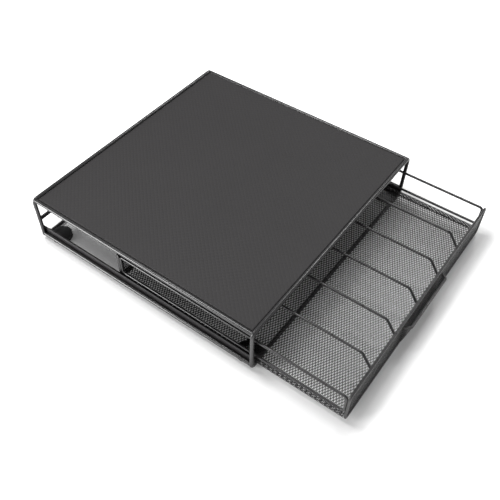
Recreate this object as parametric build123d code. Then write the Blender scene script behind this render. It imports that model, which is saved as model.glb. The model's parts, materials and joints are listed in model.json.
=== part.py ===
"""A wire-framed coffee pod drawer: an open cabinet with a flat top, and a mesh basket that slides out of it.

Millimetres. +X is the drawer's right-hand side, -Y its front, +Z up. Z = 0 is the counter.
The model stands with the basket partly pulled out, and its origin is the middle of its own footprint.
"""
import os

from build123d import *

# Cabinet, outside sizes
cabinet_width = 343.0
cabinet_depth = 326.0
cabinet_height = 67.0

# Cabinet wire: two end loops joined by four side wires
frame_wire = 4.8
frame_bend = 5.0
frame_weld = 1.0
crossbar_height = 33.0

# Rubber feet, a little taller than the wire that they lift off the counter
foot_radius = 13.0
foot_lift = 0.8
foot_gap = 0.3
foot_edge = 0.8
foot_inset = 3.0

# Sheet metal tracks and top
track_height = 13.0
track_width = 8.0
track_tab_width = 28.0
track_tab_length = 26.0
track_sheet = 1.0
track_bend_gap = 0.4
panel_sheet = 1.0
panel_drop = 2.0
panel_lip = 5.0
panel_bend = 2.0

# Stop studs on the tracks' floors, which the basket's rear frame meets
stud_radius = 2.5
stud_height = 1.8
stud_shank_radius = 1.5
stud_shank_depth = 3.0
stud_clearance = 3.4
stud_edge = 0.6

# Basket
basket_length = 306.8
basket_side_play = 1.9
basket_wire = 3.0
basket_bend = 4.0
run_gap = 0.3
hem_width = 4.0
hem_height = 5.5
hem_round = 1.4
rear_hem_round = 1.1
mesh_sheet = 1.2
mesh_rise = 2.1
floor_opening = 18.0
floor_openings_per_row = 2
upper_wire_height = 45.4
lower_wire_height = 18.4
rear_frame_top = 47.0
pulled_out = 108.0

# Dividers between the rows of pods
divider_count = 5
row_pitch = 52.8
divider_height = 40.6
divider_foot_run = 15.8
divider_bend = 6.0
divider_weld = 0.5

# Front panel, a little wider than the basket behind it
front_overhang = 0.2
front_low = 3.0
front_top = 50.0
front_bend = 5.0
front_gap = 0.3

# Finger scoop on the front panel
scoop_width = 94.0
scoop_depth = 7.2
scoop_taper = 4.0
scoop_low = 6.0
scoop_lip_height = 34.0
scoop_wall = 1.0
scoop_root_depth = 1.5
scoop_lip_wire = 3.0
scoop_lip_bend = 2.5

# Cabinet places worked out from the sizes above
wire_r = frame_wire / 2
leg_x = cabinet_width / 2 - wire_r
loop_y = cabinet_depth / 2 - wire_r
loop_low_z = foot_lift + wire_r
loop_top_z = cabinet_height - wire_r
bars_top = foot_lift + frame_wire
low_side_wire_z = loop_low_z + frame_bend
corner_inset = frame_bend * (1 - 0.5**0.5)
top_side_wire_x = leg_x - corner_inset
top_side_wire_z = loop_top_z - corner_inset
track_outer_x = leg_x - wire_r
track_inner_x = track_outer_x - track_sheet
track_floor_z = bars_top + track_sheet
track_bend = frame_bend - wire_r + track_bend_gap
foot_x = cabinet_width / 2 - foot_inset - foot_radius
foot_y = loop_y - wire_r - foot_gap - foot_radius
panel_top_z = cabinet_height - panel_drop
panel_half_x = top_side_wire_x - wire_r
panel_half_y = loop_y - wire_r

# Basket places. The front panel's back stops against the front loop's bottom bar.
basket_r = basket_wire / 2
front_y = -cabinet_depth / 2 - front_gap - basket_r - pulled_out
rear_y = front_y + basket_length
basket_half = track_inner_x - basket_side_play
front_half = basket_half + front_overhang
side_loop_x = basket_half - basket_r
hem_inner_x = basket_half - hem_width
hem_low = track_floor_z + run_gap
floor_low = hem_low + mesh_rise
floor_top = floor_low + mesh_sheet
front_mesh_back = front_y + mesh_sheet / 2
front_mesh_face = front_y - mesh_sheet / 2
rear_frame_face = rear_y - hem_width / 2
front_cross_y = front_mesh_back + basket_r
rear_cross_y = rear_frame_face - basket_r
side_loop_front_y = front_y + 2 * basket_r
side_loop_rear_y = rear_frame_face - basket_r
cross_wire_half = side_loop_x - basket_r - run_gap
stud_x = hem_inner_x - stud_clearance - stud_radius
scoop_lip_r = scoop_lip_wire / 2
scoop_lip_y = front_mesh_face - scoop_depth + scoop_wall / 2

# The whole model is moved along Y so that the origin is the middle of its footprint
front_reach = scoop_lip_y - scoop_lip_r
to_footprint_middle = -(front_reach + cabinet_depth / 2) / 2


def wire_along(path, radius):
    """A round wire whose centre follows a path."""
    start = Plane(origin=path @ 0, z_dir=path % 0)
    return sweep(start * Circle(radius), path=path)


def standing_loop(half_x, low, top, y, bend, radius):
    """A closed wire loop that stands across the drawer, with rounded corners."""
    corners = [(-half_x, y, low), (half_x, y, low), (half_x, y, top), (-half_x, y, top)]
    return wire_along(FilletPolyline(*corners, radius=bend, close=True), radius)


def straight_wire(start, end, radius):
    """A straight round wire between two points."""
    return wire_along(Line(start, end), radius)


def box_between(low, high):
    """A block given by its lowest and highest corners."""
    size = [end - start for start, end in zip(low, high)]
    middle = [(start + end) / 2 for start, end in zip(low, high)]
    return Pos(*middle) * Box(*size)


def bar_along_y(outline, start, end):
    """A bar with one outline, drawn in X and Z, that runs along Y from start to end."""
    section = Plane(origin=(0, start, 0), x_dir=(1, 0, 0), z_dir=(0, -1, 0)) * outline
    return extrude(section, amount=end - start, dir=(0, 1, 0))


def end_loops():
    """The cabinet's front and rear wire loops."""
    front = standing_loop(leg_x, loop_low_z, loop_top_z, -loop_y, frame_bend, wire_r)
    rear = standing_loop(leg_x, loop_low_z, loop_top_z, loop_y, frame_bend, wire_r)
    return front, rear


def side_wire(x, z, front_loop, rear_loop):
    """A side wire, its ends welded onto the two end loops and shaped to them."""
    end_y = loop_y - wire_r + frame_weld
    wire = straight_wire((x, -end_y, z), (x, end_y, z), wire_r)
    return wire - front_loop - rear_loop


def rear_crossbar(rear_loop):
    """The bar halfway up the rear loop, welded between its two legs."""
    end_x = leg_x - wire_r + frame_weld
    bar = straight_wire((-end_x, loop_y, crossbar_height), (end_x, loop_y, crossbar_height), wire_r)
    return bar - rear_loop


def top_panel():
    """The flat top: a sheet with its four edges folded down between the wires."""
    low = panel_top_z - panel_lip
    outer = box_between((-panel_half_x, -panel_half_y, low), (panel_half_x, panel_half_y, panel_top_z))
    outer = fillet(outer.edges().group_by(Axis.Z)[-1], panel_bend)
    inner_x = panel_half_x - panel_sheet
    inner_y = panel_half_y - panel_sheet
    inner_top = panel_top_z - panel_sheet
    hollow = box_between((-inner_x, -inner_y, low - panel_sheet), (inner_x, inner_y, inner_top))
    hollow = fillet(hollow.edges().group_by(Axis.Z)[-1], panel_bend - panel_sheet)
    return outer - hollow


def track():
    """The right-hand angle track: a web welded to the low side wire, and a floor that the basket slides on.

    Its front end widens to a tab, which lies on the front loop's bottom bar and takes the stop stud.
    """
    web_top = bars_top + track_height
    floor_edge = track_outer_x - track_width
    outline = make_face(
        Polyline(
            (floor_edge, bars_top),
            (track_outer_x, bars_top),
            (track_outer_x, web_top),
            (track_inner_x, web_top),
            (track_inner_x, track_floor_z),
            (floor_edge, track_floor_z),
            close=True,
        )
    )
    outer_corner = outline.vertices().sort_by_distance((track_outer_x, bars_top, 0))[0]
    outline = fillet(outer_corner, track_bend)
    inner_corner = outline.vertices().sort_by_distance((track_inner_x, track_floor_z, 0))[0]
    outline = fillet(inner_corner, track_bend - track_sheet)
    half_length = cabinet_depth / 2
    bar = bar_along_y(outline, -half_length, half_length)
    tab_low = (track_outer_x - track_tab_width, -half_length, bars_top)
    tab_high = (floor_edge, track_tab_length - half_length, track_floor_z)
    bar += box_between(tab_low, tab_high)
    return bar - Pos(stud_x, -foot_y, track_floor_z) * Cylinder(stud_shank_radius, track_height)


def rubber_foot(end):
    """A round rubber foot under one end of the right-hand track."""
    disc = Pos(foot_x, end * foot_y, bars_top / 2) * Cylinder(foot_radius, bars_top)
    return fillet(disc.edges().group_by(Axis.Z)[0], foot_edge)


def stop_stud():
    """The right-hand stop stud: a round head on the track's floor, and a shank down into the foot."""
    shank_low = bars_top - stud_shank_depth
    head = Pos(0, 0, track_floor_z + stud_height / 2) * Cylinder(stud_radius, stud_height)
    head = fillet(head.edges().group_by(Axis.Z)[-1], stud_edge)
    shank_length = track_floor_z - shank_low
    shank = Pos(0, 0, shank_low + shank_length / 2) * Cylinder(stud_shank_radius, shank_length)
    return Pos(stud_x, -foot_y, 0) * (head + shank)


def basket_floor():
    """The basket's mesh floor: a sheet between the hems, with a coarse grid in place of the mesh's fine holes."""
    low = (-hem_inner_x, front_mesh_back, floor_low)
    high = (hem_inner_x, rear_frame_face, floor_top)
    pitch = row_pitch / floor_openings_per_row
    columns = int(2 * hem_inner_x / pitch)
    rows = int((rear_frame_face - front_mesh_back) / pitch)
    middle = Pos(0, (front_mesh_back + rear_frame_face) / 2, floor_low)
    block = Box(floor_opening, floor_opening, 4 * mesh_sheet)
    openings = [middle * place * block for place in GridLocations(pitch, pitch, columns, rows)]
    return box_between(low, high) - openings


def floor_hem():
    """The floor's right-hand edge, where the mesh is rolled into a stiff hem that runs in the track."""
    middle_x = basket_half - hem_width / 2
    middle_z = hem_low + hem_height / 2
    outline = Pos(middle_x, middle_z) * RectangleRounded(hem_width, hem_height, hem_round)
    return bar_along_y(outline, front_y + basket_r, rear_frame_face)


def rear_frame():
    """The hemmed edge all round the basket's rear wall."""
    low = (-basket_half, rear_y - hem_width / 2, hem_low)
    high = (basket_half, rear_y + hem_width / 2, rear_frame_top)
    outer = box_between(low, high)
    outer = fillet(outer.edges().filter_by(Axis.Y), hem_round)
    window_low = (-basket_half + hem_height, rear_y - hem_width, hem_low + hem_height)
    window_high = (basket_half - hem_height, rear_y + hem_width, rear_frame_top - hem_height)
    frame = outer - box_between(window_low, window_high)
    rims = frame.faces().filter_by(Axis.Y)
    return fillet([edge for rim in rims for edge in rim.outer_wire().edges()], rear_hem_round)


def rear_mesh():
    """The mesh of the basket's rear wall, inside its frame."""
    low = (-basket_half + hem_height, rear_y - mesh_sheet / 2, hem_low + hem_height)
    high = (basket_half - hem_height, rear_y + mesh_sheet / 2, rear_frame_top - hem_height)
    return box_between(low, high)


def side_rail():
    """The right-hand side rail: an upper and a lower wire joined by a bend at each end."""
    corners = [
        (side_loop_x, side_loop_front_y, lower_wire_height),
        (side_loop_x, side_loop_rear_y, lower_wire_height),
        (side_loop_x, side_loop_rear_y, upper_wire_height),
        (side_loop_x, side_loop_front_y, upper_wire_height),
    ]
    return wire_along(FilletPolyline(*corners, radius=basket_bend, close=True), basket_r)


def cross_wire(y):
    """A wire across one end of the basket, which the dividers' feet are welded to."""
    return straight_wire((-cross_wire_half, y, lower_wire_height), (cross_wire_half, y, lower_wire_height), basket_r)


def divider(index, front_cross, rear_cross):
    """One divider wire between two rows of pods, bent down at both ends to the cross wires."""
    x = (index - (divider_count - 1) / 2) * row_pitch
    foot_fall = divider_height - lower_wire_height
    foot_length = (divider_foot_run**2 + foot_fall**2) ** 0.5
    short = (basket_r - divider_weld) / foot_length
    foot_in = divider_foot_run * short
    foot_z = lower_wire_height + foot_fall * short
    points = [
        (x, front_cross_y + foot_in, foot_z),
        (x, front_cross_y + divider_foot_run, divider_height),
        (x, rear_cross_y - divider_foot_run, divider_height),
        (x, rear_cross_y - foot_in, foot_z),
    ]
    wire = wire_along(FilletPolyline(*points, radius=divider_bend), basket_r)
    return wire - front_cross - rear_cross


def front_frame():
    """The wire round the edge of the front panel."""
    half_x = front_half - basket_r
    return standing_loop(half_x, front_low + basket_r, front_top - basket_r, front_y, front_bend, basket_r)


def front_mesh():
    """The front panel's mesh, as a plain sheet inside its wire."""
    half_x = front_half - basket_wire
    low = (-half_x, front_mesh_face, front_low + basket_wire)
    high = (half_x, front_mesh_back, front_top - basket_wire)
    sheet = box_between(low, high)
    return fillet(sheet.edges().filter_by(Axis.Y), front_bend - basket_r)


def scoop_layer(z, depth, inset):
    """The scoop's outline at one height: a shallow trapezoid that starts on the front panel."""
    taper = scoop_taper * depth / scoop_depth
    half = scoop_width / 2 - inset
    front = front_mesh_face - depth + inset
    return Pos(0, 0, z) * make_face(
        Polyline(
            (-half, front_mesh_face),
            (-half + taper, front),
            (half - taper, front),
            (half, front_mesh_face),
            close=True,
        )
    )


def finger_scoop():
    """The mesh pocket on the front panel that fingers pull on, open at the top and at its back."""
    top = scoop_lip_height - scoop_lip_r
    outer = loft([scoop_layer(scoop_low, scoop_root_depth, 0), scoop_layer(top, scoop_depth, 0)], ruled=True)
    inner_low = scoop_layer(scoop_low, scoop_root_depth, scoop_wall)
    inner = loft([inner_low, scoop_layer(top, scoop_depth, scoop_wall)], ruled=True)
    return outer - inner


def scoop_lip(panel):
    """The scoop's rolled top edge."""
    half = scoop_width / 2 - scoop_wall / 2
    points = [
        (-half, front_mesh_face, scoop_lip_height),
        (-half + scoop_taper, scoop_lip_y, scoop_lip_height),
        (half - scoop_taper, scoop_lip_y, scoop_lip_height),
        (half, front_mesh_face, scoop_lip_height),
    ]
    return wire_along(FilletPolyline(*points, radius=scoop_lip_bend), scoop_lip_r) - panel


def both_hands(right_hand):
    """Each right-hand piece and its mirror image, by name."""
    nodes = {}
    for name, shape in right_hand.items():
        nodes[f"{name}_right"] = shape
        nodes[f"{name}_left"] = mirror(shape, about=Plane.YZ)
    return nodes


def cabinet_nodes():
    """Every fixed piece, by name."""
    front_loop, rear_loop = end_loops()
    nodes = {
        "front_frame_loop": front_loop,
        "rear_frame_loop": rear_loop,
        "rear_crossbar": rear_crossbar(rear_loop),
        "top_panel": top_panel(),
    }
    stud = stop_stud()
    right_hand = {
        "top_side_wire": side_wire(top_side_wire_x, top_side_wire_z, front_loop, rear_loop),
        "low_side_wire": side_wire(leg_x, low_side_wire_z, front_loop, rear_loop),
        "track": track(),
        "stop_stud": stud,
        "foot_front": rubber_foot(-1) - stud,
        "foot_rear": rubber_foot(1),
    }
    return nodes | both_hands(right_hand)


def basket_nodes():
    """Every piece that slides, by name."""
    front_cross = cross_wire(front_cross_y)
    rear_cross = cross_wire(rear_cross_y)
    panel = front_mesh()
    nodes = {
        "basket_floor_mesh": basket_floor(),
        "basket_rear_frame": rear_frame(),
        "basket_rear_mesh": rear_mesh(),
        "front_cross_wire": front_cross,
        "rear_cross_wire": rear_cross,
        "front_panel_wire": front_frame(),
        "front_panel_mesh": panel,
        "finger_scoop": finger_scoop(),
        "finger_scoop_lip": scoop_lip(panel),
    }
    nodes |= both_hands({"side_rail": side_rail(), "floor_hem": floor_hem()})
    for index in range(divider_count):
        nodes[f"row_divider_{index + 1}"] = divider(index, front_cross, rear_cross)
    return nodes


os.makedirs("parts", exist_ok=True)
for name, shape in (cabinet_nodes() | basket_nodes()).items():
    export_step(Pos(0, to_footprint_middle, 0) * shape, f"parts/{name}.step")
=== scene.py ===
# Coffee pod drawer: black powder-coated wire cabinet with a mesh basket on a slide. Blender 4.5.
import json
import math

import bmesh
import bpy
from mathutils import Matrix, Vector


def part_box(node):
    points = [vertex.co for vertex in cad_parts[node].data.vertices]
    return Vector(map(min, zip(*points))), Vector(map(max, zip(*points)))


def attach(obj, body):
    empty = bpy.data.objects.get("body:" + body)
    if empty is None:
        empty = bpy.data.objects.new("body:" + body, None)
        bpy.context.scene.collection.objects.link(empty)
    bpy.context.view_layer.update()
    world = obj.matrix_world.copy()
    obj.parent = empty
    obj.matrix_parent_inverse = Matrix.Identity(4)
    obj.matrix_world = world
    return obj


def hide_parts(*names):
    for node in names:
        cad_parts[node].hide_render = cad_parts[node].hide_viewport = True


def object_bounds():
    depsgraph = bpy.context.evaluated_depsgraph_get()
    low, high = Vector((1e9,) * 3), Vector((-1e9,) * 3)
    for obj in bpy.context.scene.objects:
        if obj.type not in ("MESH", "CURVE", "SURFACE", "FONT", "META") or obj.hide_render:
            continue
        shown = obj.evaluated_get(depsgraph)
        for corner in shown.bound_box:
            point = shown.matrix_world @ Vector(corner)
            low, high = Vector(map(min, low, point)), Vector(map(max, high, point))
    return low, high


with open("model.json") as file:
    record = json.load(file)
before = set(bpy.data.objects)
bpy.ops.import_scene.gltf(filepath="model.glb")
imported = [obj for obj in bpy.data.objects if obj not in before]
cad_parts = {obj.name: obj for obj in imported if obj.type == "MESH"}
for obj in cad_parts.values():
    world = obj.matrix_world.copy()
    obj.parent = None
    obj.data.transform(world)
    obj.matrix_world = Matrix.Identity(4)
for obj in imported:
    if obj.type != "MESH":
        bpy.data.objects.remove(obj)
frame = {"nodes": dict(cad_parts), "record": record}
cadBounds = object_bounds()
nodes = frame["nodes"]
mm = 0.001
print("frame loaded:", len(nodes), "solids")


def linearColour(code, alpha=1.0):
    # an sRGB hex code as Blender's linear colour
    channels = [int(code[i:i + 2], 16) / 255 for i in (1, 3, 5)]
    linear = [c / 12.92 if c <= 0.04045 else ((c + 0.055) / 1.055) ** 2.4 for c in channels]
    return (*linear, alpha)


def addNode(tree, kind, inputs=(), **settings):
    # a node with its settings; each input is a value, or the socket or node that it comes from
    node = tree.nodes.new(kind)
    for name, value in settings.items():
        setattr(node, name, value)
    for key, value in (inputs.items() if isinstance(inputs, dict) else enumerate(inputs)):
        source = value.outputs[0] if isinstance(value, bpy.types.Node) else value
        if isinstance(source, bpy.types.NodeSocket):
            tree.links.new(source, node.inputs[key])
        elif source is not None:
            node.inputs[key].default_value = source
    return node


def newMaterial(name):
    material = bpy.data.materials.new(name)
    material.use_nodes = True
    material.node_tree.nodes.clear()
    return material, material.node_tree


def inMillimetres(tree):
    # the piece's own place, counted in millimetres
    place = addNode(tree, "ShaderNodeTexCoord").outputs["Object"]
    return addNode(tree, "ShaderNodeVectorMath", {0: place, "Scale": 1 / mm}, operation="SCALE")


def colourMix(tree, factor, codeA, codeB):
    # the colour sockets of this node share their names, so they are taken by number
    mix = addNode(tree, "ShaderNodeMix", {"Factor": factor}, data_type="RGBA")
    mix.inputs[6].default_value = linearColour(codeA)
    mix.inputs[7].default_value = linearColour(codeB)
    return mix.outputs[2]


powderCoat = {
    "wire": {"tint": "#1a191a", "tintWorn": "#232223", "roughness": 0.28, "peelDepth": 0.05},  # depths in mm
    "sheet": {"tint": "#1c1b1c", "tintWorn": "#252425", "roughness": 0.34, "peelDepth": 0.06},
    "mesh": {"tint": "#171617", "tintWorn": "#201f20", "roughness": 0.30, "peelDepth": 0.03},
    "smoother": 0.05, "rougher": 0.06,  # how far the roughness wanders from patch to patch
    "blotch": 18.0,  # mm across a patch of slightly other tint
    "peel": 0.9,  # mm, orange peel; the real one is half that, too fine to show
    "peelStrength": 0.35,
    "ior": 1.6,
}


def powderCoatMaterial(name, coat):
    # polyester powder, sprayed and baked on steel: satin black, soft highlights with a faint orange peel
    material, tree = newMaterial(name)
    place = inMillimetres(tree)
    blotch = addNode(tree, "ShaderNodeTexNoise",
                     {"Vector": place, "Scale": 1 / powderCoat["blotch"], "Detail": 3.0})
    tint = colourMix(tree, blotch, coat["tint"], coat["tintWorn"])
    peel = addNode(tree, "ShaderNodeTexNoise",
                   {"Vector": place, "Scale": 1 / powderCoat["peel"], "Detail": 2.0})
    sheen = addNode(tree, "ShaderNodeMapRange",
                    {"Value": blotch, "To Min": coat["roughness"] - powderCoat["smoother"],
                     "To Max": coat["roughness"] + powderCoat["rougher"]})
    bump = addNode(tree, "ShaderNodeBump",
                   {"Height": peel, "Strength": powderCoat["peelStrength"],
                    "Distance": coat["peelDepth"] * mm})
    surface = addNode(tree, "ShaderNodeBsdfPrincipled",
                      {"Base Color": tint, "Roughness": sheen, "Normal": bump, "IOR": powderCoat["ior"]})
    addNode(tree, "ShaderNodeOutputMaterial", {"Surface": surface})
    return material


topSheet = {
    "tint": "#201e1f", "tintWorn": "#262425",
    "pebble": 4.27,  # mm between the rows of the embossed diamonds, which run at 45 degrees
    "embossDepth": 0.45,  # mm, deeper than the real one's so that it shows
    "embossStrength": 0.5,
    "crown": 0.5,  # under 1, each diamond is flatter on top
    "grain": 0.7,  # mm, the powder's own fine texture
    "grainHeight": 0.25,  # of the diamonds' height
    "blotch": 60.0,  # mm
    "roughness": 0.62, "smoother": 0.05, "rougher": 0.08,
    "ior": 1.5,
}


def topSheetMaterial():
    # steel sheet rolled with a fine diamond emboss, then powder coated matt: it breaks up what it reflects
    material, tree = newMaterial("embossedPowderCoatedSteel")
    place = inMillimetres(tree)
    turned = addNode(tree, "ShaderNodeMapping",
                     {"Vector": place, "Rotation": (0, 0, math.pi / 4), "Scale": (topSheet["pebble"],) * 3},
                     vector_type="TEXTURE")
    axes = addNode(tree, "ShaderNodeSeparateXYZ", [turned])
    ridges = []
    for axis in ("X", "Y"):
        turn = addNode(tree, "ShaderNodeMath", [axes.outputs[axis], math.pi], operation="MULTIPLY")
        wave = addNode(tree, "ShaderNodeMath", [turn], operation="SINE")
        ridges.append(addNode(tree, "ShaderNodeMath", [wave], operation="ABSOLUTE"))
    diamond = addNode(tree, "ShaderNodeMath", ridges, operation="MULTIPLY")
    domed = addNode(tree, "ShaderNodeMath", [diamond, topSheet["crown"]], operation="POWER")
    grain = addNode(tree, "ShaderNodeTexNoise",
                    {"Vector": place, "Scale": 1 / topSheet["grain"], "Detail": 3.0})
    height = addNode(tree, "ShaderNodeMath", [grain, topSheet["grainHeight"], domed],
                     operation="MULTIPLY_ADD")
    bump = addNode(tree, "ShaderNodeBump",
                   {"Height": height, "Strength": topSheet["embossStrength"],
                    "Distance": topSheet["embossDepth"] * mm})
    blotch = addNode(tree, "ShaderNodeTexNoise",
                     {"Vector": place, "Scale": 1 / topSheet["blotch"], "Detail": 4.0})
    tint = colourMix(tree, blotch, topSheet["tint"], topSheet["tintWorn"])
    sheen = addNode(tree, "ShaderNodeMapRange",
                    {"Value": grain, "To Min": topSheet["roughness"] - topSheet["smoother"],
                     "To Max": topSheet["roughness"] + topSheet["rougher"]})
    surface = addNode(tree, "ShaderNodeBsdfPrincipled",
                      {"Base Color": tint, "Roughness": sheen, "Normal": bump, "IOR": topSheet["ior"]})
    addNode(tree, "ShaderNodeOutputMaterial", {"Surface": surface})
    return material


foot = {
    "tint": "#1d1d1e", "tintDusty": "#2c2c2d",
    "bloom": 7.0,  # mm across a dusty patch
    "grain": 0.6, "grainDepth": 0.05,  # mm, the mould's own grain
    "grainStrength": 0.4,
    "roughness": 0.82, "ior": 1.52,
}


def rubberMaterial():
    # moulded nitrile rubber: nearly no highlight, a dusty bloom on its skin
    material, tree = newMaterial("mouldedRubber")
    place = inMillimetres(tree)
    bloom = addNode(tree, "ShaderNodeTexNoise", {"Vector": place, "Scale": 1 / foot["bloom"], "Detail": 5.0})
    grain = addNode(tree, "ShaderNodeTexNoise", {"Vector": place, "Scale": 1 / foot["grain"]})
    tint = colourMix(tree, bloom, foot["tint"], foot["tintDusty"])
    bump = addNode(tree, "ShaderNodeBump",
                   {"Height": grain, "Strength": foot["grainStrength"], "Distance": foot["grainDepth"] * mm})
    surface = addNode(tree, "ShaderNodeBsdfPrincipled",
                      {"Base Color": tint, "Roughness": foot["roughness"], "Normal": bump,
                       "IOR": foot["ior"]})
    addNode(tree, "ShaderNodeOutputMaterial", {"Surface": surface})
    return material


stud = {
    "tint": "#c9c6bf", "tintDeep": "#b5b1a8",
    "cloud": 2.0, "cloudDepth": 0.05,  # mm, the milky patches and the swell of the skin over them
    "cloudStrength": 0.2,
    "milkiness": 0.15, "lightDepth": 1.0,  # share of the light that goes in, and how far, in mm
    "roughness": 0.4, "ior": 1.53,
}


def nylonMaterial():
    # natural nylon, injection moulded: milky, with light that goes a little way in
    material, tree = newMaterial("mouldedNylon")
    place = inMillimetres(tree)
    cloud = addNode(tree, "ShaderNodeTexNoise", {"Vector": place, "Scale": 1 / stud["cloud"], "Detail": 2.0})
    tint = colourMix(tree, cloud, stud["tint"], stud["tintDeep"])
    bump = addNode(tree, "ShaderNodeBump",
                   {"Height": cloud, "Strength": stud["cloudStrength"], "Distance": stud["cloudDepth"] * mm})
    surface = addNode(tree, "ShaderNodeBsdfPrincipled",
                      {"Base Color": tint, "Roughness": stud["roughness"], "Normal": bump, "IOR": stud["ior"],
                       "Subsurface Weight": stud["milkiness"], "Subsurface Scale": stud["lightDepth"] * mm})
    addNode(tree, "ShaderNodeOutputMaterial", {"Surface": surface})
    return material


finishBySlot = {
    "powder_coated_wire": powderCoatMaterial("powderCoatedWire", powderCoat["wire"]),
    "powder_coated_sheet": powderCoatMaterial("powderCoatedSheet", powderCoat["sheet"]),
    "powder_coated_mesh": powderCoatMaterial("powderCoatedExpandedSteel", powderCoat["mesh"]),
    "foot_rubber": rubberMaterial(),
    "stud_nylon": nylonMaterial(),
}
topFinish = topSheetMaterial()
slotOfNode = {part["node"]: part["material_slot"] for part in frame["record"]["subparts"]}
for name, solid in nodes.items():
    solid.data.materials.clear()
    solid.data.materials.append(topFinish if name == "top_panel" else finishBySlot[slotOfNode[name]])
print("finishes set on the solids")


expandedSteel = {
    "longPitch": 5.95,  # mm between bonds across the drawer
    "shortPitch": 3.37,  # mm between rows of holes
    "strand": 0.74,  # mm, width of one strand
    "bond": 1.0,  # mm, length of the bond between two strands
    "thickness": 0.6,  # mm
    "joinWithin": 0.01,  # mm, points this near are one point
}


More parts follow.
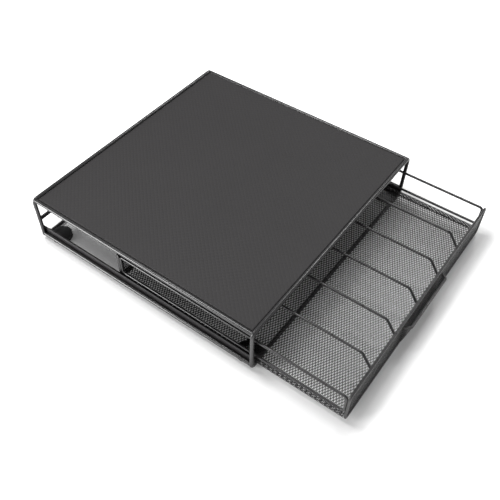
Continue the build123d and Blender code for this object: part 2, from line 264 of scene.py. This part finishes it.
def expandedSteelTree():
    # strands zigzag across the sheet and meet their neighbours at the bonds, as in slit and stretched steel
    tree = bpy.data.node_groups.new("expandedSteel", "GeometryNodeTree")
    tree.interface.new_socket("Geometry", in_out="OUTPUT", socket_type="NodeSocketGeometry")
    for name in ("Width", "Depth", "Long Pitch", "Short Pitch", "Strand", "Bond", "Thickness"):
        tree.interface.new_socket(name, in_out="INPUT", socket_type="NodeSocketFloat")
    tree.interface.new_socket("Material", in_out="INPUT", socket_type="NodeSocketMaterial")
    given = addNode(tree, "NodeGroupInput").outputs

    # counts: bonds along a strand, and strands across the sheet
    longHalf = addNode(tree, "ShaderNodeMath", [given["Long Pitch"], 0.5], operation="MULTIPLY")
    shortHalf = addNode(tree, "ShaderNodeMath", [given["Short Pitch"], 0.5], operation="MULTIPLY")
    wantedSteps = addNode(tree, "ShaderNodeMath", [given["Width"], longHalf], operation="DIVIDE")
    steps = addNode(tree, "ShaderNodeMath", [wantedSteps], operation="ROUND")
    wantedStrands = addNode(tree, "ShaderNodeMath", [given["Depth"], shortHalf], operation="DIVIDE")
    strands = addNode(tree, "ShaderNodeMath", [wantedStrands], operation="ROUND")
    lastColumn = addNode(tree, "ShaderNodeMath", [steps, 2, 1], operation="MULTIPLY_ADD")
    lastRow = addNode(tree, "ShaderNodeMath", [strands, 2, -1], operation="MULTIPLY_ADD")
    columns = addNode(tree, "ShaderNodeMath", [lastColumn, 1], operation="ADD")
    rows = addNode(tree, "ShaderNodeMath", [lastRow, 1], operation="ADD")
    grid = addNode(tree, "GeometryNodeMeshGrid",
                   {"Size X": lastColumn, "Size Y": lastRow, "Vertices X": columns, "Vertices Y": rows})

    # which column and row a point is in
    position = addNode(tree, "GeometryNodeInputPosition")
    axes = addNode(tree, "ShaderNodeSeparateXYZ", [position])
    fromLeft = addNode(tree, "ShaderNodeMath", [lastColumn, 0.5, axes.outputs["X"]], operation="MULTIPLY_ADD")
    fromFront = addNode(tree, "ShaderNodeMath", [lastRow, 0.5, axes.outputs["Y"]], operation="MULTIPLY_ADD")
    column = addNode(tree, "ShaderNodeMath", [fromLeft], operation="ROUND")
    row = addNode(tree, "ShaderNodeMath", [fromFront], operation="ROUND")
    halfColumn = addNode(tree, "ShaderNodeMath", [column, 2], operation="DIVIDE")
    halfRow = addNode(tree, "ShaderNodeMath", [row, 2], operation="DIVIDE")
    bondIndex = addNode(tree, "ShaderNodeMath", [halfColumn], operation="FLOOR")
    strandIndex = addNode(tree, "ShaderNodeMath", [halfRow], operation="FLOOR")
    bondEnd = addNode(tree, "ShaderNodeMath", [column, 2], operation="MODULO")
    strandEdge = addNode(tree, "ShaderNodeMath", [row, 2], operation="MODULO")

    # every second row of faces is the space between two strands
    faceRow = addNode(tree, "ShaderNodeMath", [fromFront], operation="FLOOR")
    isGap = addNode(tree, "ShaderNodeMath", [faceRow, 2], operation="MODULO")
    ribbons = addNode(tree, "GeometryNodeDeleteGeometry",
                      {"Geometry": grid.outputs["Mesh"], "Selection": isGap}, domain="FACE")

    # along the strand
    halfWidth = addNode(tree, "ShaderNodeMath", [given["Width"], 0.5], operation="MULTIPLY")
    stepLength = addNode(tree, "ShaderNodeMath", [given["Width"], steps], operation="DIVIDE")
    bondX = addNode(tree, "ShaderNodeMath", [bondIndex, stepLength], operation="MULTIPLY")
    bondFromMiddle = addNode(tree, "ShaderNodeMath", [bondX, halfWidth], operation="SUBTRACT")
    endSide = addNode(tree, "ShaderNodeMath", [bondEnd, 0.5], operation="SUBTRACT")
    wantedX = addNode(tree, "ShaderNodeMath", [endSide, given["Bond"], bondFromMiddle],
                      operation="MULTIPLY_ADD")
    cutHigh = addNode(tree, "ShaderNodeMath", [wantedX, halfWidth], operation="MINIMUM")
    lowest = addNode(tree, "ShaderNodeMath", [halfWidth, -1], operation="MULTIPLY")
    x = addNode(tree, "ShaderNodeMath", [cutHigh, lowest], operation="MAXIMUM")

    # across the strands: each swings to its neighbours by turns
    strandStep = addNode(tree, "ShaderNodeMath", [given["Depth"], strands], operation="DIVIDE")
    room = addNode(tree, "ShaderNodeMath", [strandStep, given["Strand"]], operation="SUBTRACT")
    swing = addNode(tree, "ShaderNodeMath", [room, 0.5], operation="MULTIPLY")
    turnIndex = addNode(tree, "ShaderNodeMath", [bondIndex, strandIndex], operation="ADD")
    turn = addNode(tree, "ShaderNodeMath", [turnIndex, 2], operation="MODULO")
    sign = addNode(tree, "ShaderNodeMath", [turn, -2, 1], operation="MULTIPLY_ADD")
    middleIndex = addNode(tree, "ShaderNodeMath", [strandIndex, 0.5], operation="ADD")
    middleY = addNode(tree, "ShaderNodeMath", [middleIndex, strandStep], operation="MULTIPLY")
    swungY = addNode(tree, "ShaderNodeMath", [sign, swing, middleY], operation="MULTIPLY_ADD")
    edgeSide = addNode(tree, "ShaderNodeMath", [strandEdge, 0.5], operation="SUBTRACT")
    y = addNode(tree, "ShaderNodeMath", [edgeSide, given["Strand"], swungY], operation="MULTIPLY_ADD")
    z = addNode(tree, "ShaderNodeMath", [given["Thickness"], -0.5], operation="MULTIPLY")
    place = addNode(tree, "ShaderNodeCombineXYZ", [x, y, z])
    flat = addNode(tree, "GeometryNodeSetPosition", {"Geometry": ribbons, "Position": place})
    near = expandedSteel["joinWithin"] * mm
    bonded = addNode(tree, "GeometryNodeMergeByDistance", {"Geometry": flat, "Distance": near})

    # thickness, with the under side closed
    up = addNode(tree, "ShaderNodeCombineXYZ", [0, 0, 1])
    raised = addNode(tree, "GeometryNodeExtrudeMesh",
                     {"Mesh": bonded, "Offset": up, "Offset Scale": given["Thickness"], "Individual": False})
    under = addNode(tree, "GeometryNodeFlipFaces", {"Mesh": bonded})
    both = addNode(tree, "GeometryNodeJoinGeometry")
    tree.links.new(under.outputs[0], both.inputs[0])
    tree.links.new(raised.outputs["Mesh"], both.inputs[0])
    closed = addNode(tree, "GeometryNodeMergeByDistance", {"Geometry": both, "Distance": near})
    plain = addNode(tree, "GeometryNodeRealizeInstances", {"Geometry": closed})
    finished = addNode(tree, "GeometryNodeSetMaterial", {"Geometry": plain, "Material": given["Material"]})
    addNode(tree, "NodeGroupOutput", {"Geometry": finished})
    return tree


meshTree = expandedSteelTree()


def meshFromTree(name, tree, values):
    # the tree's result as a plain mesh object
    carrier = bpy.data.objects.new(name + "_source", bpy.data.meshes.new(name + "_source"))
    bpy.context.scene.collection.objects.link(carrier)
    modifier = carrier.modifiers.new("nodes", "NODES")
    modifier.node_group = tree
    for item in tree.interface.items_tree:
        if item.in_out == "INPUT" and item.name in values:
            modifier[item.identifier] = values[item.name]
    graph = bpy.context.evaluated_depsgraph_get()
    mesh = bpy.data.meshes.new_from_object(carrier.evaluated_get(graph), depsgraph=graph)
    mesh.name = name
    bpy.data.objects.remove(carrier)
    piece = bpy.data.objects.new(name, mesh)
    bpy.context.scene.collection.objects.link(piece)
    return piece


def steelMesh(name, width, depth, where,
              strand=expandedSteel["strand"], thickness=expandedSteel["thickness"]):
    # a sheet of expanded steel; where() takes a point of the flat sheet, in metres, to its real place
    piece = meshFromTree(name, meshTree, {
        "Width": width, "Depth": depth,
        "Long Pitch": expandedSteel["longPitch"] * mm, "Short Pitch": expandedSteel["shortPitch"] * mm,
        "Strand": strand * mm, "Bond": expandedSteel["bond"] * mm, "Thickness": thickness * mm,
        "Material": finishBySlot["powder_coated_mesh"],
    })
    shape = bmesh.new()
    shape.from_mesh(piece.data)
    for vertex in shape.verts:
        vertex.co = where(*vertex.co)
    bmesh.ops.recalc_face_normals(shape, faces=shape.faces)  # some places mirror the flat sheet
    shape.to_mesh(piece.data)
    shape.free()
    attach(piece, "basket")
    return piece


def basketFloor():
    # one sheet on the real drawer; two pieces here, front and rear, so that neither is too heavy
    low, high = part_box("basket_floor_mesh")
    middle = (low + high) / 2
    half = (high.y - low.y) / 2
    for name, start in (("floor_mesh_front", low.y), ("floor_mesh_rear", middle.y)):
        piece = steelMesh(name, high.x - low.x, half, lambda x, y, z: (middle.x + x, start + y, middle.z + z))
        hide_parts("basket_floor_mesh")


def wallMesh(name, node):
    # a wall of mesh that stands across the drawer
    low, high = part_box(node)
    middle = (low + high) / 2
    piece = steelMesh(name, high.x - low.x, high.z - low.z,
                      lambda x, y, z: (middle.x + x, middle.y - z, low.z + y))
    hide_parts(node)


scoop = {
    "rootDepth": 1.5,  # mm that its lower edge stands off the panel
    "taper": 4.0,  # mm that each side runs in on the way out
}


def scoopMesh():
    # a shallow pocket of mesh: deepest at its top, where the lip is, and closed at both sides
    low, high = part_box("finger_scoop")
    depth = high.y - low.y
    half = (high.x - low.x) / 2

    def where(x, y, z):
        share = y / (high.z - low.z)
        reach = scoop["rootDepth"] * mm + (depth - scoop["rootDepth"] * mm) * share
        side = scoop["taper"] * mm * reach / depth
        rise = max(0.0, min(1.0, (half - abs(x)) / side))
        standOff = max(reach * rise - z - expandedSteel["thickness"] * mm / 2, 0.0)
        return (x, high.y - standOff, low.z + y)

    piece = steelMesh("scoop_mesh", high.x - low.x, high.z - low.z, where)
    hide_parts("finger_scoop")


hem = {"round": 1.4, "strand": 0.8, "thickness": 0.4}  # mm; the rolled edge shows its outer layer of mesh


def wrapRound(centre, along, across, up, width, height):
    # takes a flat sheet round a bar with rounded corners; y runs round the bar, z stands off its surface
    radius = hem["round"] * mm
    straight = [width - 2 * radius, height - 2 * radius] * 2
    corner = math.pi / 2 * radius
    perimeter = sum(straight) + 4 * corner
    middles = [(0, -1), (1, 0), (0, 1), (-1, 0)]

    def where(x, y, z):
        left = y % perimeter
        for side, length in enumerate(straight):
            outX, outZ = middles[side]
            runX, runZ = -outZ, outX
            if left <= length:
                reach = (width if outX else height) / 2
                step = left - length / 2
                point = (outX * (reach + z) + runX * step, outZ * (reach + z) + runZ * step)
                break
            left -= length
            if left <= corner:
                angle = math.atan2(outZ, outX) + left / radius
                cornerX = (width / 2 - radius) * (outX + runX)
                cornerZ = (height / 2 - radius) * (outZ + runZ)
                point = (cornerX + (radius + z) * math.cos(angle), cornerZ + (radius + z) * math.sin(angle))
                break
            left -= corner
        return centre + along * x + across * point[0] + up * point[1]

    return where, perimeter


def hemSkin(name, low, high, along, across, up):
    # the outer layer of mesh on one rolled edge
    size = high - low
    length, width, height = (abs(size.dot(axis)) for axis in (along, across, up))
    where, perimeter = wrapRound((low + high) / 2, along, across, up, width, height)
    return steelMesh(name, length, perimeter, where, hem["strand"], hem["thickness"])


def hems():
    toFront, toRight, toTop = Vector((0, -1, 0)), Vector((1, 0, 0)), Vector((0, 0, 1))
    for side in ("left", "right"):
        low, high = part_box(f"floor_hem_{side}")
        skin = hemSkin(f"floor_hem_skin_{side}", low, high, toFront, toRight, toTop)
        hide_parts(f"floor_hem_{side}")
    low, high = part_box("basket_rear_frame")
    meshLow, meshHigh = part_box("basket_rear_mesh")
    hemSkin("rear_hem_skin_top", Vector((low.x, low.y, meshHigh.z)), high, toRight, -toFront, toTop)
    hemSkin("rear_hem_skin_bottom", low, Vector((high.x, high.y, meshLow.z)), toRight, -toFront, toTop)
    for side, start, end in (("left", low.x, meshLow.x), ("right", meshHigh.x, high.x)):
        hemSkin(f"rear_hem_skin_{side}", Vector((start, low.y, meshLow.z)), Vector((end, high.y, meshHigh.z)),
                toTop, toRight, -toFront)


basketFloor()
wallMesh("rear_wall_mesh", "basket_rear_mesh")
wallMesh("front_wall_mesh", "front_panel_mesh")
scoopMesh()
hems()
print("expanded steel made")


studio = {
    "floorTint": "#f4f4f4", "floorRoughness": 0.9, "floorReach": 30.0,  # metres
    # painted light on the floor, seen but lighting nothing: little under the drawer, all of it liftRise m
    # off, where it paints out the drawer's shadow
    "nearLift": 0.05, "farLift": 0.60, "liftRise": 0.03,
    # the room is 1 up to the horizon's height and dims to the ceiling's level; heights are sines of elevation
    "ceiling": 0.42, "horizon": 0.12, "ceilingStart": 0.45,
    "ambient": 0.75,  # the room's strength as a light
    "lamps": {  # watts and metres
        "key": {"power": 11.0, "size": 0.45, "place": (-0.15, 0.50, 1.4)},
        "rim": {"power": 6.0, "size": 0.35, "place": (0.95, -0.05, 1.3)},
        "side": {"power": 22.0, "size": 0.7, "place": (-1.25, 0.85, 0.40)},
    },
    "lampTarget": (0, 0, 0.03),
}


def seenRays(tree):
    # 1 for what the camera sees, straight or in a reflection, and 0 for the light that falls on the drawer
    path = addNode(tree, "ShaderNodeLightPath").outputs
    direct = addNode(tree, "ShaderNodeMath", [path["Is Camera Ray"], path["Is Glossy Ray"]],
                     operation="MAXIMUM")
    return addNode(tree, "ShaderNodeMath", [direct, path["Is Transmission Ray"]], operation="MAXIMUM")


def distanceOutside(tree):
    # how far a place on the floor lies outside the drawer's own rectangle, in metres
    low, high = cadBounds
    place = addNode(tree, "ShaderNodeTexCoord").outputs["Object"]
    fromMiddle = addNode(tree, "ShaderNodeVectorMath", {0: place, 1: (Vector(low) + Vector(high)) / 2},
                         operation="SUBTRACT")
    either = addNode(tree, "ShaderNodeVectorMath", [fromMiddle], operation="ABSOLUTE")
    past = addNode(tree, "ShaderNodeVectorMath", {0: either, 1: (Vector(high) - Vector(low)) / 2},
                   operation="SUBTRACT")
    axes = addNode(tree, "ShaderNodeSeparateXYZ", [past])
    return addNode(tree, "ShaderNodeMath", [axes.outputs["X"], axes.outputs["Y"]], operation="MAXIMUM")


def studioFloor():
    # matt white floor under a painted glow: the drawer's soft shadow stays under the drawer, and the glow
    # paints the floor plain white a little way off
    material, tree = newMaterial("paintedStudioFloor")
    seen = seenRays(tree)
    # painted light: faint inside the drawer's rectangle, full a little way outside it, over the shadow there
    paintedGlow = addNode(tree, "ShaderNodeMapRange",
                   {"Value": distanceOutside(tree), "From Max": studio["liftRise"],
                    "To Min": studio["nearLift"], "To Max": studio["farLift"]},
                   interpolation_type="SMOOTHSTEP")
    lift = addNode(tree, "ShaderNodeMath", [seen, paintedGlow], operation="MULTIPLY")
    surface = addNode(tree, "ShaderNodeBsdfPrincipled",
                      {"Base Color": linearColour(studio["floorTint"]), "Roughness": studio["floorRoughness"],
                       "Emission Color": (1, 1, 1, 1), "Emission Strength": lift})
    addNode(tree, "ShaderNodeOutputMaterial", {"Surface": surface})
    mesh = bpy.data.meshes.new("studio_floor")
    reach = studio["floorReach"]
    corners = [(-reach, -reach, 0), (reach, -reach, 0), (reach, reach, 0), (-reach, reach, 0)]
    mesh.from_pydata(corners, [], [(0, 1, 2, 3)])
    mesh.materials.append(material)
    floor = bpy.data.objects.new("studio_floor", mesh)
    bpy.context.scene.collection.objects.link(floor)


def studioRoom():
    # brighter near the horizon than overhead, as a room with white walls
    world = bpy.data.worlds.new("studio")
    world.use_nodes = True
    tree = world.node_tree
    tree.nodes.clear()
    seen = seenRays(tree)
    strength = addNode(tree, "ShaderNodeMapRange",
                       {"Value": seen, "To Min": studio["ambient"], "To Max": 1.0})
    direction = addNode(tree, "ShaderNodeTexCoord").outputs["Generated"]
    height = addNode(tree, "ShaderNodeSeparateXYZ", [direction]).outputs["Z"]
    room = addNode(tree, "ShaderNodeMapRange",
                   {"Value": height, "From Min": studio["horizon"], "From Max": studio["ceilingStart"],
                    "To Min": 1.0, "To Max": studio["ceiling"]})
    sky = addNode(tree, "ShaderNodeBackground", {"Color": room, "Strength": strength})
    addNode(tree, "ShaderNodeOutputWorld", {"Surface": sky})
    bpy.context.scene.world = world


def softbox(name, lamp):
    light = bpy.data.lights.new(name, "AREA")
    light.energy = lamp["power"]
    light.shape = "SQUARE"
    light.size = lamp["size"]
    box = bpy.data.objects.new(name, light)
    box.location = lamp["place"]
    aim = Vector(studio["lampTarget"]) - Vector(lamp["place"])
    box.rotation_euler = aim.to_track_quat("-Z", "Y").to_euler()
    bpy.context.scene.collection.objects.link(box)


view = {  # solved from about 40 points of the photograph
    "azimuth": -54.21, "elevation": 50.44, "roll": 0.85,  # degrees
    "target": (-0.0854, -0.0889, 0.030), "distance": 0.7464,  # metres, the target from the cabinet's middle
    "focal": 647.5, "centre": (244.2, 272.5), "image": 500,  # pixels
    "sensor": 36.0,  # mm
    "clipStart": 0.01,  # metres
}


def photoCamera():
    azimuth, elevation, roll = (math.radians(view[key]) for key in ("azimuth", "elevation", "roll"))
    back = Vector((math.sin(azimuth) * math.cos(elevation), -math.cos(azimuth) * math.cos(elevation),
                   math.sin(elevation)))
    level = Vector((math.cos(azimuth), math.sin(azimuth), 0))
    upright = back.cross(level)
    right = math.cos(roll) * level + math.sin(roll) * upright
    up = math.cos(roll) * upright - math.sin(roll) * level
    data = bpy.data.cameras.new("photo_camera")
    data.sensor_width = view["sensor"]
    data.lens = view["focal"] / view["image"] * data.sensor_width
    data.shift_x = 0.5 - view["centre"][0] / view["image"]
    data.shift_y = view["centre"][1] / view["image"] - 0.5
    data.clip_start = view["clipStart"]
    camera = bpy.data.objects.new("photo_camera", data)
    low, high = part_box("top_panel")
    cabinetMiddle = Vector((0, (low.y + high.y) / 2, 0))
    place = cabinetMiddle + Vector(view["target"]) + back * view["distance"]
    camera.matrix_world = Matrix.Translation(place) @ Matrix((right, up, back)).transposed().to_4x4()
    bpy.context.scene.collection.objects.link(camera)
    bpy.context.scene.camera = camera


studioFloor()
studioRoom()
for lampName, lamp in studio["lamps"].items():
    softbox(lampName + "_softbox", lamp)
photoCamera()
bpy.context.scene.view_settings.view_transform = "Standard"
print("stage and camera set")
